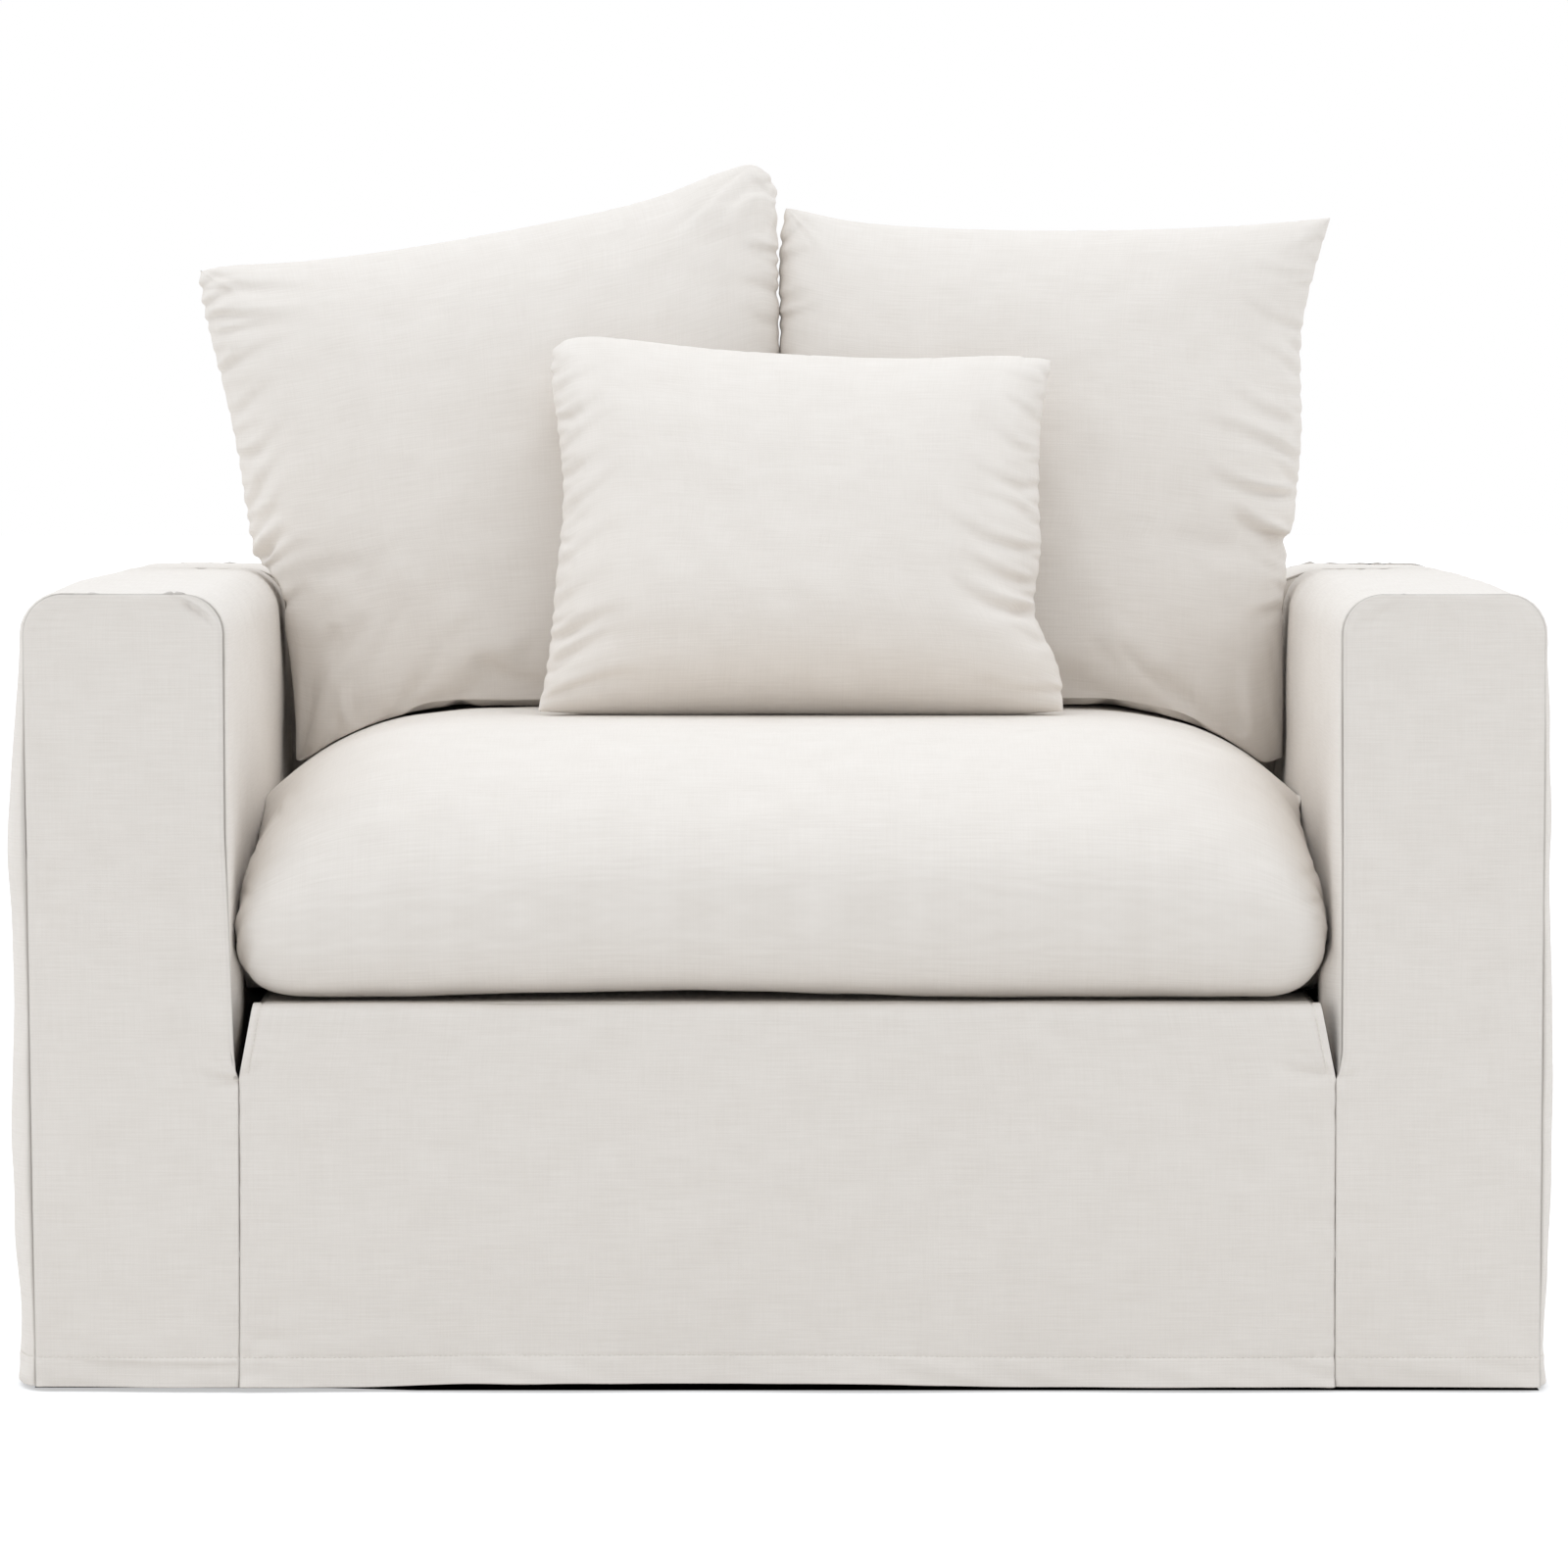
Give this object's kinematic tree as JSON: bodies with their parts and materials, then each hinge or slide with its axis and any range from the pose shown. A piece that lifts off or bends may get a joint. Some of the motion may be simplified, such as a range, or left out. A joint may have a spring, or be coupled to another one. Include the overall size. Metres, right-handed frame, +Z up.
{
  "type": "fitted sofa slipcover with seat, back and scatter cushions",
  "caption": "Loose fitted linen slipcover for a wide armchair or small sofa: box arms, skirted front, low back, with filled seat, back and scatter cushions.",
  "frame": {"origin": "on the floor under the middle of the footprint", "axes": "+Z up, the front apron faces -Y, +X to the right of someone looking at the front"},
  "size_m": [1.2249, 0.966, 0.9843],
  "materials": {
    "linen": "off-white plain weave linen blend with fine slubs, washed and matt"
  },
  "bodies": {
    "root": {"arm_facing_left": "linen", "arm_facing_right": "linen", "arm_panel_left": "linen", "arm_panel_right": "linen", "back_band": "linen", "inside_back": "linen", "outside_back": "linen", "seat_deck": "linen", "front_apron": "linen", "seat_cushion": "linen", "back_cushion_left": "linen", "back_cushion_right": "linen", "scatter_cushion": "linen"}
  },
  "joints": []
}
